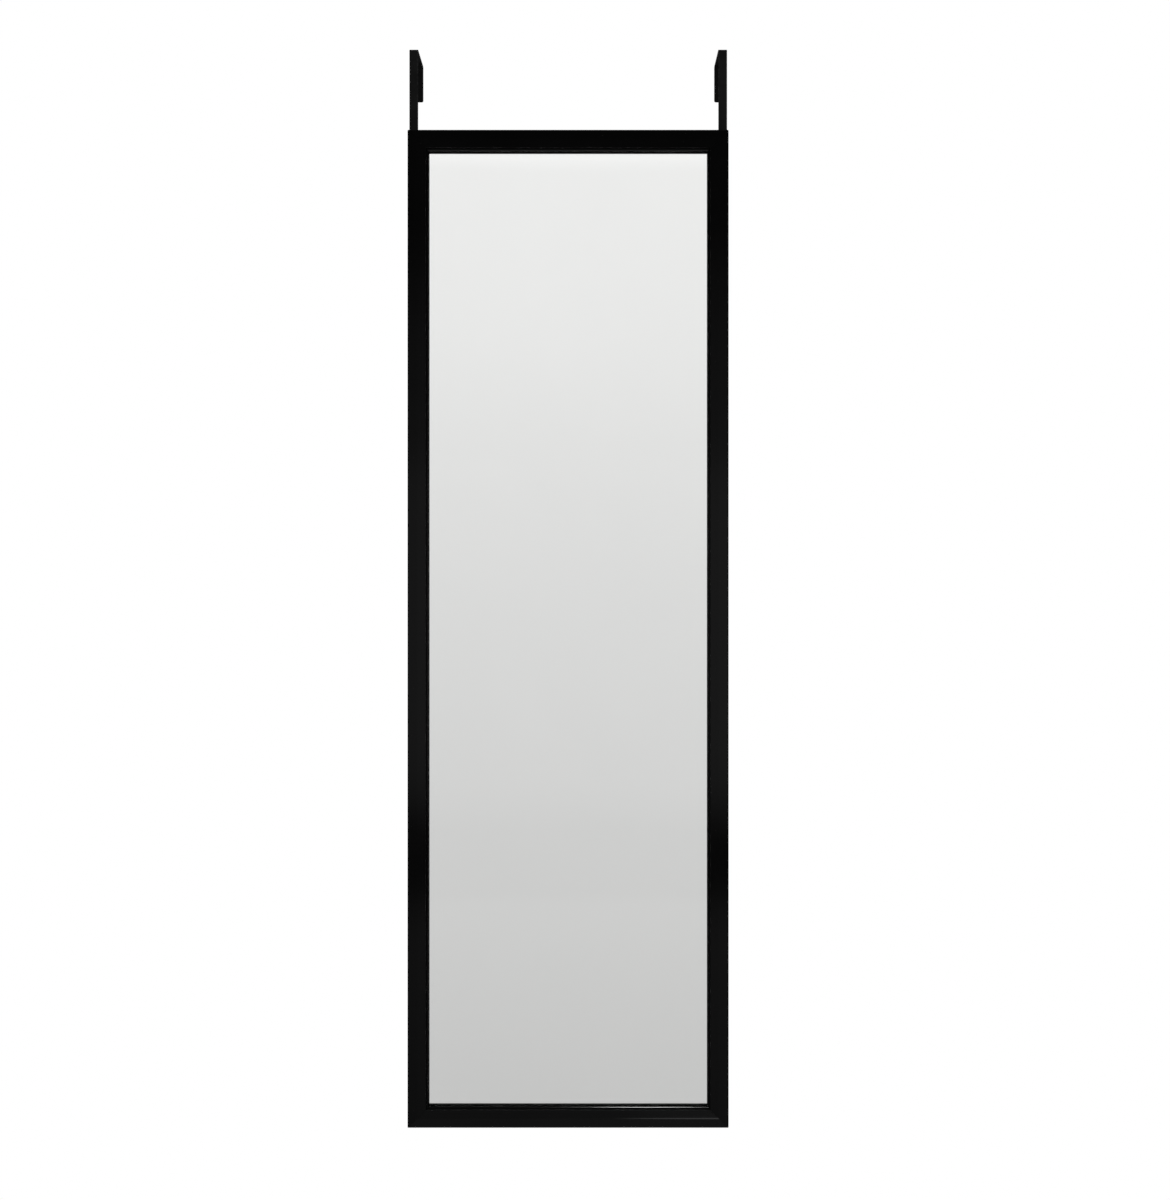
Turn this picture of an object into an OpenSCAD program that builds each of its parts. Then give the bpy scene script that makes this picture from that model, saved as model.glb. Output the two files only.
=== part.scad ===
// Over-the-door mirror.
//
// A tall plain mirror in a slim black moulding with four mitred corners. Two bent steel
// straps are screwed to the back of the stiles and hook over the top of a door.
//
// Lengths are in millimetres. X runs across the door, Y from the front towards the door
// and Z up. The origin is the middle of the top front edge of the door, so the door's
// front face is the plane Y = 0 and its top is the plane Z = 0.

/* [Mirror glass] */
// Width of the mirror glass
glass_w = 300; // [200:1:600]
// Height of the mirror glass
glass_h = 1000; // [600:5:1600]
// Thickness of the mirror glass
glass_t = 3; // [2:0.5:6]
// Margin of glass that the frame lip covers on every side
glass_lap = 5.5; // [3:0.5:10]
// Play between the edge of the glass and the rebate
glass_clear = 0.5; // [0.2:0.1:1.5]

/* [Moulding] */
// Width of the moulding, from its outer edge to the sight edge
rail_w = 21.5; // [20:0.5:40]
// Depth from the front of the moulding to the glass
lip_depth = 6.5; // [6:0.5:14]
// Distance from the outer edge to the crest of the face
crest_u = 11; // [8:0.5:12]
// Radius of the crest, where the two slopes of the face meet
crest_r = 12; // [4:1:20]
// Angle at which the face falls from the crest towards the glass, in degrees
inner_fall = 1.5; // [1:0.5:8]
// Angle at which the face falls from the crest towards the outer edge, in degrees
outer_fall = 7; // [1:0.5:12]
// Radius of the outer front edge
edge_r = 1.6; // [0.8:0.1:2.5]
// Radius of the edge where the face drops to the bead
step_r = 0.3; // [0.3:0.1:1.2]
// Width of the bead along the sight edge
bead_w = 2.4; // [2:0.1:3]
// Radius of the bead, which rounds back to the glass
bead_r = 1.6; // [1.6:0.1:2.4]
// Height of the bead above the glass
bead_rise = 3.1; // [2.4:0.1:3.2]
// Radius to which the corners of the frame are rounded off
corner_r = 1.5; // [0.5:0.1:3]
// Chamfer along the outer back edge
back_chamfer = 0.6; // [0.2:0.1:1.5]
// Hairline left open at each mitred corner
mitre_gap = 0.1; // [0.02:0.02:0.4]

/* [Backing] */
// Thickness of the foam sheet behind the glass
foam_t = 1.5; // [1:0.5:4]
// Distance that the foam sheet stays inside the edge of the glass
foam_inset = 2; // [0:0.5:6]
// Thickness of the hardboard back
board_t = 2.5; // [2:0.5:5]
// Play between the edge of the board and the rebate
board_clear = 1; // [0.3:0.1:2]
// Depth of rebate left free behind the board
rebate_spare = 1; // [0.8:0.1:4]

/* [Retaining points] */
// Length of a point lying on the board
point_out = 8; // [6:0.5:12]
// Length of a point driven into the rebate wall
point_in = 4; // [3:0.5:5]
// Width of a point
point_w = 6; // [4:0.5:10]
// Thickness of a point
point_t = 0.4; // [0.3:0.05:0.6]
// Length of the sharpened end of a point
point_tip = 2; // [1:0.5:2.5]
// Distance from the frame corner to the first point
point_end = 70; // [45:1:95]
// Greatest spacing between the points
point_pitch = 150; // [80:5:250]
// Clearance round a point in its slot
point_clear = 0.05; // [0.02:0.01:0.1]

/* [Corner nails] */
// Height of a V nail, the depth it is driven to
nail_h = 7; // [4:0.5:10]
// Width of a V nail across the mitre
nail_w = 7; // [5:0.5:8]
// Rise of the V from its open side to its apex
nail_rise = 2.6; // [1.5:0.1:3.5]
// Thickness of the nail strip, along the mitre
nail_t = 0.5; // [0.3:0.05:0.8]
// Distance that the nail head sits below the back of the frame
nail_sunk = 0.2; // [0.1:0.1:0.6]
// Distance along the mitre from the outer corner to the first nail
nail_outer = 6.5; // [6:0.1:8]
// Distance along the mitre from the rebate corner to the second nail
nail_inner = 4.5; // [3:0.1:5]
// Clearance round a nail in its slot
nail_clear = 0.05; // [0.02:0.01:0.1]

/* [Hooks] */
// Clear gap of the hook, the thickest door it fits
door_gap = 40; // [34:1:55]
// Rise from the top of the frame to the top of the door
hook_rise = 87.5; // [20:0.5:150]
// Drop of the back leg below the top of the door
leg_drop = 37; // [25:1:80]
// Length of strap screwed to the back of the frame
foot_len = 60; // [50:1:120]
// Width of the steel strap
strap_w = 9; // [8:0.5:12]
// Thickness of the steel strap
strap_t = 1.5; // [1.2:0.1:3]
// Distance from the outer edge of the frame to the strap
strap_inset = 0.2; // [0:0.1:2]
// Inside radius of the two bends
bend_r = 1; // [0.5:0.1:3]
// Radius of the strap's corners at both ends
strap_corner_r = 1.5; // [0.5:0.1:3]

/* [Screws] */
// Thread diameter of a hook screw
screw_d = 3; // [2.5:0.1:3.5]
// Length of a hook screw
screw_len = 12; // [8:0.5:14]
// Diameter of the countersunk head
screw_head_d = 5.6; // [5:0.1:6.4]
// Length of the pointed end of the screw
screw_tip = 3; // [2:0.5:4]
// Distance from the frame top to the upper screw
screw_drop = 24; // [20:1:28]
// Distance from the end of the strap to the lower screw
screw_end = 10; // [6:1:14]
// Clearance round a screw in the strap and in the stile
screw_clear = 0.1; // [0.05:0.05:0.3]
// Length of each slot of the cross recess
recess_l = 3; // [2:0.1:4]
// Width of each slot of the cross recess
recess_w = 0.6; // [0.4:0.1:1]
// Depth of the cross recess
recess_d = 1; // [0.5:0.1:1.6]

/* [Pads and bumpers] */
// Thickness of the felt pad on the back leg
pad_t = 1; // [0.5:0.1:3]
// Distance from the edges of the leg to the pad
pad_margin = 0.5; // [0:0.1:2]
// Distance from the top of the door to the top of the pad
pad_top = 4; // [3:0.5:10]
// Diameter of a rubber bumper
bumper_d = 12; // [8:0.5:14]
// Radius of the bumper's rounded rim
bumper_rim_r = 0.7; // [0.3:0.1:1.1]
// Distance from the outer edges of the frame to a bumper's rim
bumper_inset = 1.8; // [0.5:0.1:3]

/* [Hidden] */
$fn = 48;
arc_steps = 10; // flats used for each curve of the moulding
cut_over = 1; // how far cutting shapes run past the faces they open

frame_black = [0.07, 0.07, 0.075];
strap_black = [0.1, 0.1, 0.1];
silver_grey = [0.86, 0.88, 0.88];
foam_white = [0.93, 0.93, 0.9];
board_brown = [0.5, 0.36, 0.22];
steel_grey = [0.62, 0.63, 0.65];
felt_black = [0.05, 0.05, 0.05];
rubber_grey = [0.25, 0.25, 0.25];

lip_w = glass_lap + glass_clear; // width of the lip in front of the glass
land_w = rail_w - lip_w; // width of the moulding behind the lip
rail_d = lip_depth + glass_t + foam_t + board_t + rebate_spare; // depth of the moulding
frame_w = glass_w + 2 * glass_clear + 2 * land_w;
frame_h = glass_h + 2 * glass_clear + 2 * land_w;

back_y = -strap_t; // back of the moulding, where the straps and bumpers lie
front_y = back_y - rail_d; // front of the moulding
glass_y = front_y + lip_depth;
foam_y = glass_y + glass_t;
board_y = foam_y + foam_t;
point_y = board_y + board_t;

frame_top = -hook_rise;
frame_mid = frame_top - frame_h / 2;
strap_x = frame_w / 2 - strap_inset - strap_w / 2; // middle of the right strap
foot_end = frame_top - foot_len; // lower end of the strap
screw_heights = [frame_top - screw_drop, foot_end + screw_end];

// The four sides, each the one before it turned by a quarter, and the corners at the two
// ends of each side as [x, z] signs.
SIDES = ["top", "right", "bottom", "left"];
side_corners = [
    [[-1, 1], [1, 1]],
    [[1, 1], [1, -1]],
    [[-1, -1], [1, -1]],
    [[-1, 1], [-1, -1]]
];

// Points along an arc about c, from angle a0 to angle a1.
function arc(c, r, a0, a1, n = arc_steps) =
    [for (i = [0:n]) let (a = a0 + (a1 - a0) * i / n) c + r * [cos(a), sin(a)]];

// Number of quarter turns that take the top of the frame to the named side.
function quarters(side) = search([side], SIDES)[0];

// Length of one side of the frame, measured along its outer edge.
function side_length(side) = quarters(side) % 2 == 0 ? frame_w : frame_h;

// Depth of the face at u on the slope that falls at the given angle from the crest. dir is
// 1 on the inner side of the crest and -1 on the outer side.
function slope_depth(u, dir, fall) =
    crest_r * (1 - cos(fall)) + (dir * (u - crest_u) - crest_r * sin(fall)) * tan(fall);

// Centre of the circle of radius r that rounds a slope into the wall at u = wall.
function round_centre(wall, r, dir, fall) =
    let (u = wall - dir * r)
    [u, slope_depth(u, dir, fall) + r / cos(fall)];

// Outline of the moulding: u from the outer edge to the sight edge, v from front to back.
// It runs up the outer wall, over the two slopes and the crest between them, down the
// step, round the bead to the glass, and back along the lip and the rebate.
function moulding_outline() =
    let (
        step_u = rail_w - bead_w,
        outer = round_centre(0, edge_r, -1, outer_fall),
        inner = round_centre(step_u, step_r, 1, inner_fall),
        bead = [rail_w - bead_r, lip_depth - bead_rise + bead_r],
        bead_step = -acos((step_u - bead[0]) / bead_r), // where the bead leaves the step
        bead_foot = asin((lip_depth - bead[1]) / bead_r) // where it reaches the glass
    )
    concat(
        [[0, rail_d - back_chamfer]],
        arc(outer, edge_r, -180, -90 - outer_fall),
        arc([crest_u, crest_r], crest_r, -90 - outer_fall, -90 + inner_fall),
        arc(inner, step_r, -90 + inner_fall, 0),
        arc(bead, bead_r, bead_step, bead_foot),
        [[land_w, lip_depth], [land_w, rail_d], [back_chamfer, rail_d]]
    );

// Puts a child that is drawn along X at one side of the frame. The child's z = 0 is the
// outer edge, its -z side is inward, and y = 0 is the front of the moulding.
module at_side(side) {
    reach = (frame_w + frame_h - side_length(side)) / 2;
    translate([0, front_y, frame_mid])
        rotate([0, 90 * quarters(side), 0])
            translate([0, 0, reach])
                children();
}

// Puts a child at an outer corner of the frame's back, with X and Z pointing inwards.
module at_corner(corner) {
    translate([corner[0] * frame_w / 2, back_y, frame_mid + corner[1] * frame_h / 2])
        mirror([corner[0] > 0 ? 1 : 0, 0, 0])
            mirror([0, 0, corner[1] > 0 ? 1 : 0])
                children();
}

// Extrudes an outline drawn in X and Z backwards along Y, from y0 to y0 + depth.
module along_y(y0, depth) {
    translate([0, y0 + depth, 0])
        rotate([90, 0, 0])
            linear_extrude(depth)
                children();
}

// Cutter that rounds off an upright corner at the origin. The body lies on its +X and +Z
// side, from y = 0 to y = depth.
module corner_round(r, depth) {
    difference() {
        translate([-cut_over, -cut_over, -cut_over])
            cube([r + cut_over, depth + 2 * cut_over, r + cut_over]);
        translate([r, -2 * cut_over, r])
            rotate([-90, 0, 0])
                cylinder(r = r, h = depth + 4 * cut_over);
    }
}

// One length of moulding, cut at 45 degrees at both ends.
module mitred_bar(length) {
    half = length / 2 - mitre_gap / sqrt(2);
    intersection() {
        rotate([0, 90, 0])
            linear_extrude(length, center = true)
                polygon(moulding_outline());
        along_y(-cut_over, rail_d + 2 * cut_over)
            polygon([
                [-half - cut_over, cut_over],
                [half + cut_over, cut_over],
                [half - rail_w - cut_over, -rail_w - cut_over],
                [-half + rail_w + cut_over, -rail_w - cut_over]
            ]);
    }
}

// A side of the frame with its slots for the corner nails and the retaining points.
module rail(side) {
    difference() {
        at_side(side) mitred_bar(side_length(side));
        for (corner = side_corners[quarters(side)]) {
            at_corner(corner) translate([0, -rail_d, 0]) corner_round(corner_r, rail_d);
            corner_nails(corner, nail_clear, cut_over);
        }
        retaining_points(side, point_clear);
    }
}

// A stile is a rail that also takes the two screws of a hook. x is the strap's middle.
module stile(side, x) {
    difference() {
        rail(side);
        for (z = screw_heights) translate([x, 0, z]) screw_hole(screw_len + cut_over);
    }
}

// Cross-section of a V nail, with its apex on the mitre and pointing inwards.
// grow widens it on every side for the slot.
module nail_section(grow) {
    half = nail_w / 2 + grow;
    slope = nail_rise / (nail_w / 2);
    along = grow * sqrt(1 + pow(slope, 2)); // the same growth, measured along the mitre
    front = along;
    back = -nail_t - along;
    polygon([
        [front, 0],
        [front - slope * half, half],
        [back - slope * half, half],
        [back, 0],
        [back - slope * half, -half],
        [front - slope * half, -half]
    ]);
}

// The two V nails of a corner. grow and open turn them into the slots they are driven in.
module corner_nails(corner, grow = 0, open = 0) {
    land_diagonal = land_w * sqrt(2);
    apexes = [nail_outer + nail_rise, land_diagonal - nail_inner];
    bottom = -nail_sunk - nail_h - grow;
    top = open > 0 ? open : -nail_sunk;
    at_corner(corner)
        rotate([0, -45, 0])
            for (s = apexes)
                translate([s, 0, 0]) along_y(bottom, top - bottom) nail_section(grow);
}

// Middles of the retaining points along one side, evenly spaced between its end points.
function point_places(side) =
    let (
        span = side_length(side) - 2 * point_end,
        gaps = max(1, ceil(span / point_pitch))
    )
    [for (i = [0:gaps]) -span / 2 + span * i / gaps];

// The flexible points of one side. They lie flat on the board with their sharpened ends
// in the rebate wall. grow widens them on every side for their slots.
module retaining_points(side, grow = 0) {
    half = point_w / 2 + grow;
    wall = -land_w;
    at_side(side)
        for (x = point_places(side))
            translate([x, 0, 0])
                along_y(point_y - front_y - grow, point_t + 2 * grow)
                    polygon([
                        [-half, wall - point_out],
                        [half, wall - point_out],
                        [half, wall + point_in - point_tip + grow],
                        [0, wall + point_in + 2 * grow],
                        [-half, wall + point_in - point_tip + grow]
                    ]);
}

// A flat sheet inside the rebate, with its front face at y.
module sheet(y, t, w, h) {
    translate([-w / 2, y, frame_mid - h / 2]) cube([w, t, h]);
}

// One bent corner of the strap, turning from the web down into a leg on its +Y side.
module strap_bend() {
    rotate([90, 0, 90])
        rotate_extrude(angle = 90)
            translate([bend_r, -strap_w / 2])
                square([strap_t, strap_w]);
}

// Cutters that round off the two corners of a strap end that points down at z = 0.
module end_corners() {
    for (side = [0, 1])
        mirror([side, 0, 0])
            translate([-strap_w / 2, 0, 0]) corner_round(strap_corner_r, strap_t);
}

// A countersunk hole from the strap's back face forwards, depth deep.
module screw_hole(depth) {
    sink = (screw_head_d - screw_d) / 2;
    rotate([90, 0, 0])
        translate([0, 0, -cut_over]) {
            cylinder(d = screw_d + 2 * screw_clear, h = depth + cut_over);
            cylinder(d = screw_head_d + 2 * screw_clear, h = cut_over);
            translate([0, 0, cut_over])
                cylinder(d1 = screw_head_d + 2 * screw_clear,
                         d2 = screw_d + 2 * screw_clear, h = sink);
        }
}

// The bent strap: a foot behind the frame, a rise up the door, a web over its top and a
// leg down its back.
module hook(x) {
    leg_y = door_gap + pad_t;
    difference() {
        translate([x, 0, 0]) {
            translate([-strap_w / 2, -strap_t, foot_end])
                cube([strap_w, strap_t, -foot_end - bend_r]);
            translate([0, bend_r, -bend_r])
                rotate([0, 0, 180]) strap_bend();
            translate([-strap_w / 2, bend_r, 0])
                cube([strap_w, leg_y - 2 * bend_r, strap_t]);
            translate([0, leg_y - bend_r, -bend_r])
                strap_bend();
            translate([-strap_w / 2, leg_y, -leg_drop])
                cube([strap_w, strap_t, leg_drop - bend_r]);
        }
        translate([x, -strap_t, foot_end]) end_corners();
        translate([x, leg_y, -leg_drop]) end_corners();
        for (z = screw_heights) translate([x, 0, z]) screw_hole(screw_len);
    }
}

// A countersunk cross-recess screw with its head flush with the strap's back face.
module hook_screw(x, z) {
    sink = (screw_head_d - screw_d) / 2;
    shank = screw_len - sink - screw_tip;
    translate([x, 0, z])
        rotate([90, 0, 0])
            difference() {
                rotate_extrude()
                    polygon([
                        [0, 0],
                        [screw_head_d / 2, 0],
                        [screw_d / 2, sink],
                        [screw_d / 2, sink + shank],
                        [0, screw_len]
                    ]);
                for (turn = [0, 90])
                    rotate([0, 0, turn])
                        translate([-recess_l / 2, -recess_w / 2, -cut_over])
                            cube([recess_l, recess_w, recess_d + cut_over]);
            }
}

// The felt pad that keeps the leg off the back of the door.
module hook_pad(x) {
    w = strap_w - 2 * pad_margin;
    h = leg_drop - pad_top - pad_margin;
    translate([x - w / 2, door_gap, -pad_top - h]) cube([w, pad_t, h]);
}

// A rubber bumper, as thick as the strap so that the frame hangs parallel to the door.
module bumper(sign) {
    reach = frame_w / 2 - bumper_inset - bumper_d / 2;
    low = frame_top - frame_h + bumper_inset + bumper_d / 2;
    rim = [bumper_d / 2 - bumper_rim_r, strap_t - bumper_rim_r];
    translate([sign * reach, back_y, low])
        rotate([-90, 0, 0])
            rotate_extrude()
                polygon(concat(
                    [[0, 0], [bumper_d / 2, 0]],
                    arc(rim, bumper_rim_r, 0, 90),
                    [[0, strap_t]]
                ));
}

module top_rail() { color(frame_black) rail("top"); }
module right_stile() { color(frame_black) stile("right", strap_x); }
module bottom_rail() { color(frame_black) rail("bottom"); }
module left_stile() { color(frame_black) stile("left", -strap_x); }

module corner_nails_top_left() { color(steel_grey) corner_nails([-1, 1]); }
module corner_nails_top_right() { color(steel_grey) corner_nails([1, 1]); }
module corner_nails_bottom_left() { color(steel_grey) corner_nails([-1, -1]); }
module corner_nails_bottom_right() { color(steel_grey) corner_nails([1, -1]); }

module mirror_glass() { color(silver_grey) sheet(glass_y, glass_t, glass_w, glass_h); }
module foam_sheet() {
    color(foam_white)
        sheet(foam_y, foam_t, glass_w - 2 * foam_inset, glass_h - 2 * foam_inset);
}
module backing_board() {
    play = 2 * (glass_clear - board_clear);
    color(board_brown) sheet(board_y, board_t, glass_w + play, glass_h + play);
}

module retaining_points_top() { color(steel_grey) retaining_points("top"); }
module retaining_points_right() { color(steel_grey) retaining_points("right"); }
module retaining_points_bottom() { color(steel_grey) retaining_points("bottom"); }
module retaining_points_left() { color(steel_grey) retaining_points("left"); }

module left_hook() { color(strap_black) hook(-strap_x); }
module right_hook() { color(strap_black) hook(strap_x); }

module left_hook_upper_screw() { color(steel_grey) hook_screw(-strap_x, screw_heights[0]); }
module left_hook_lower_screw() { color(steel_grey) hook_screw(-strap_x, screw_heights[1]); }
module right_hook_upper_screw() { color(steel_grey) hook_screw(strap_x, screw_heights[0]); }
module right_hook_lower_screw() { color(steel_grey) hook_screw(strap_x, screw_heights[1]); }

module left_hook_pad() { color(felt_black) hook_pad(-strap_x); }
module right_hook_pad() { color(felt_black) hook_pad(strap_x); }

module left_bumper() { color(rubber_grey) bumper(-1); }
module right_bumper() { color(rubber_grey) bumper(1); }

top_rail();
right_stile();
bottom_rail();
left_stile();
corner_nails_top_left();
corner_nails_top_right();
corner_nails_bottom_left();
corner_nails_bottom_right();
mirror_glass();
foam_sheet();
backing_board();
retaining_points_top();
retaining_points_right();
retaining_points_bottom();
retaining_points_left();
left_hook();
right_hook();
left_hook_upper_screw();
left_hook_lower_screw();
right_hook_upper_screw();
right_hook_lower_screw();
left_hook_pad();
right_hook_pad();
left_bumper();
right_bumper();
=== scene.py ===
# %% [markdown]
# # An over-the-door mirror
#
# The real thing is a tall pane of silvered glass in a slim black moulding. Two flat steel
# straps are screwed to its back and hook over the top of a door. This script dresses the
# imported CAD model: long smooth parts are made again as fine surfaces, worked out with
# numpy, and small metal parts keep their CAD shape and get a better finish.
#
# Lengths are in metres. X runs across the door, Y from the front into the door and Z up.
# The origin is the middle of the top front edge of the door.

import bpy
import numpy as np
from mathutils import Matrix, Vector


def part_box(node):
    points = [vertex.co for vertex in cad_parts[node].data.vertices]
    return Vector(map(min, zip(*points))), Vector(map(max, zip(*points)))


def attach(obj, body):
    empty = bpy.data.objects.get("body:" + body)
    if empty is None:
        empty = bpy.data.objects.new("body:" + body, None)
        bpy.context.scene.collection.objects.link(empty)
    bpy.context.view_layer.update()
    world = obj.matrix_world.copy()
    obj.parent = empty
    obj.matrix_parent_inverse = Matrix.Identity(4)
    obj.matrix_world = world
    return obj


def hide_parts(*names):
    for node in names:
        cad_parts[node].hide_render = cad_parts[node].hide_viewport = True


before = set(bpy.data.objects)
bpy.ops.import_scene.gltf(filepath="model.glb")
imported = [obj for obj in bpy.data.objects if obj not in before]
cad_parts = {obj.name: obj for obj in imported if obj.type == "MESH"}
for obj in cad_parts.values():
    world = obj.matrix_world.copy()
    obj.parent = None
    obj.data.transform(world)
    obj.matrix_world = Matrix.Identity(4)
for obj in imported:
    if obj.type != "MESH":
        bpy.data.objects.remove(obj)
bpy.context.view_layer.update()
print("CAD nodes:", len(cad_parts))

# %% [markdown]
# ## Sizes
#
# The surfaces below sit exactly where the CAD parts are, so they start from the same
# values. Only the ones that shape a piece are listed here. Places are read from the CAD
# boxes where that is simpler, so both always agree. One value differs on purpose: the
# edge of the step is crisper here, because the photograph shows no bright line on it.

# %% Sizes
MM = 0.001

RAIL_W = 21.5 * MM        # moulding, outer edge to sight edge
LIP_DEPTH = 6.5 * MM      # front of the moulding to the glass
CREST_U = 11.0 * MM       # outer edge to the crest of the face
CREST_R = 12.0 * MM
INNER_FALL = np.radians(1.5)
OUTER_FALL = np.radians(7.0)
EDGE_R = 1.6 * MM
STEP_R = 0.1 * MM         # 0.3 mm in the CAD model
BEAD_W = 2.4 * MM
BEAD_R = 1.6 * MM
BEAD_RISE = 3.1 * MM
CORNER_R = 1.5 * MM
BACK_CHAMFER = 0.6 * MM
MITRE_GAP = 0.1 * MM
LAND_W = 15.5 * MM        # moulding behind the lip
RAIL_D = 14.5 * MM

STRAP_W = 9.0 * MM
STRAP_T = 1.5 * MM
BEND_R = 1.0 * MM

frame_low = Vector(min(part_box(n)[0][i] for n in ("left_stile", "bottom_rail"))
                   for i in range(3))
frame_high = Vector(max(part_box(n)[1][i] for n in ("right_stile", "top_rail"))
                    for i in range(3))
FRAME_W = frame_high.x - frame_low.x
FRAME_H = frame_high.z - frame_low.z
FRAME_MID = (frame_high.z + frame_low.z) / 2
FRONT_Y = frame_low.y
BACK_Y = frame_high.y
print(f"frame {FRAME_W:.4f} x {FRAME_H:.4f} m, front {FRONT_Y:.4f}, back {BACK_Y:.4f}")

# %% [markdown]
# ## The camera
#
# The photograph looks straight at the mirror, a little to the right of its middle. The
# dark bands inside the lip show where: the top one and the bottom one are as wide as a
# camera about 1.3 m away and level with the middle would see them.

# %% The camera
EYE = (17.5 * MM, -1316.0 * MM, -573.7 * MM)
LENS = 37.78              # for a 36 mm sensor along the taller side of the picture

scene = bpy.context.scene
scene.view_settings.view_transform = "Standard"
lens = bpy.data.cameras.new("camera")
lens.lens = LENS
lens.sensor_width = 36.0
camera = bpy.data.objects.new("camera", lens)
camera.location = EYE
camera.rotation_euler = (np.pi / 2, 0, 0)
scene.collection.objects.link(camera)
scene.camera = camera
print("camera", EYE, "lens", LENS)

# %% [markdown]
# ## Helpers for shader nodes
#
# A node tree is easier to read in code when a node, its options and its inputs are
# written in one place. `add` does that: an input given as a socket is linked, and any
# other value is set. A shared effect is a node group, made once with `new_group` and
# placed in each material with its own values.

# %% Helpers for shader nodes
def add(tree, kind, inputs=None, **options):
    """Adds one node to a tree, sets its options, then links or sets its inputs."""
    node = tree.nodes.new(kind)
    for option, value in options.items():
        setattr(node, option, value)
    for key, value in (inputs or {}).items():
        if isinstance(value, bpy.types.NodeSocket):
            tree.links.new(value, node.inputs[key])
        else:
            node.inputs[key].default_value = value
    return node


def ramp(tree, value, stops):
    """A colour ramp: stops are (position, tone or colour) in rising order."""
    node = add(tree, "ShaderNodeValToRGB", {"Fac": value})
    elements = node.color_ramp.elements
    while len(elements) < len(stops):
        elements.new(0.5)
    for element, (position, tone) in zip(elements, stops):
        element.position = position
        element.color = (*np.broadcast_to(tone, 3), 1.0)
    return node.outputs["Color"]


def spread(tree, value, low, high, out_low, out_high):
    """Maps the range low to high onto out_low to out_high, and stops at both ends."""
    node = add(tree, "ShaderNodeMapRange",
               {"Value": value, "From Min": low, "From Max": high,
                "To Min": out_low, "To Max": out_high})
    return node.outputs["Result"]


def mixed(tree, share, a, b):
    """Colour a where share is 0 and colour b where it is 1."""
    a, b = (c if isinstance(c, bpy.types.NodeSocket) else (*c, 1.0) for c in (a, b))
    return add(tree, "ShaderNodeMix", {0: share, 6: a, 7: b}, data_type="RGBA").outputs[2]


def arithmetic(tree, operation, a, b):
    """One Math node: a and b are sockets or numbers."""
    return add(tree, "ShaderNodeMath", {0: a, 1: b}, operation=operation).outputs[0]


def new_group(name, inputs, outputs):
    """An empty node group. inputs are (name, type, value) and outputs (name, type)."""
    tree = bpy.data.node_groups.new(name, "ShaderNodeTree")
    for label, kind, value in inputs:
        socket = tree.interface.new_socket(name=label, in_out="INPUT",
                                           socket_type="NodeSocket" + kind)
        if value is not None:
            socket.default_value = value
    for label, kind in outputs:
        tree.interface.new_socket(name=label, in_out="OUTPUT",
                                  socket_type="NodeSocket" + kind)
    return tree, tree.nodes.new("NodeGroupInput"), tree.nodes.new("NodeGroupOutput")


def use(tree, group, inputs):
    """Places a node group in a material, with this material's own values."""
    return add(tree, "ShaderNodeGroup", inputs, node_tree=group)


# %% [markdown]
# ## The room
#
# A mirror shows the room, so the room is half of the picture. The photographer's was a
# plain pale one, brighter above than below, and the background behind the mirror is
# white. A world shader can do both: rays straight from the camera see white, and rays
# that come back out of the mirror see a soft vertical gradient, above it the white
# backdrop, and a grey ceiling at the very top. Black gloss picks out what is bright: a
# wide window at eye level, the pale lower wall and the floor. Above the window it sees
# the ceiling, nearly black. Matt surfaces are lit evenly.

# %% The room
MIRROR_TONES = [          # (upward part of the direction, brightness)
    (-1.00, 0.42), (-0.37, 0.61), (-0.26, 0.66), (-0.16, 0.695), (0.00, 0.76), (0.08, 0.80),
    (0.14, 0.845), (0.20, 0.885), (0.27, 0.92), (0.32, 0.935), (1.00, 0.94),
]
GLOSS_TONES = [
    (-1.00, 1.00), (-0.72, 0.70), (-0.64, 0.26), (-0.45, 0.24), (-0.38, 0.20),
    (-0.30, 0.24), (-0.235, 0.30), (-0.228, 0.00), (-0.178, 0.00), (-0.165, 0.22),
    (-0.145, 0.44), (0.10, 0.42), (0.12, 0.22), (0.21, 0.20), (0.235, 0.13), (0.27, 0.04),
    (0.64, 0.03), (1.00, 0.10),
]
BACKDROP_EDGE = (0.322, 0.331)        # where the mirror's gradient turns white
BACKDROP_TOP = (0.50, 0.85)           # where the white turns into the ceiling
CEILING = (0.25, 0.25, 0.25)
LEFT_TO_RIGHT = (-0.4, 0.4, 0.88, 1.14)   # gloss is a little brighter to the right
FAR_ASIDE = (0.42, 0.75, 1.0, 0.25)       # and darker far out on both sides
MATT_LIGHT = (0.80, 0.80, 0.80)       # even light that reaches matt surfaces


def by_height(tree, height, tones):
    """Tones over the upward part of a direction, which runs from -1 to 1."""
    stops = [((upward + 1) / 2, tone) for upward, tone in tones]
    return ramp(tree, spread(tree, height, -1, 1, 0, 1), stops)


def scaled(tree, colour, factor):
    """A colour times a factor."""
    return add(tree, "ShaderNodeVectorMath", {0: colour, "Scale": factor},
               operation="SCALE").outputs[0]


world = bpy.data.worlds.new("pale room")
scene.world = world
world.use_nodes = True
tree = world.node_tree
tree.nodes.clear()
path = add(tree, "ShaderNodeLightPath")
direction = add(tree, "ShaderNodeTexCoord")
parts = add(tree, "ShaderNodeSeparateXYZ", {0: direction.outputs["Generated"]})
height, sideways = parts.outputs["Z"], parts.outputs["X"]
aside = arithmetic(tree, "ABSOLUTE", sideways, 0.0)

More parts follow.
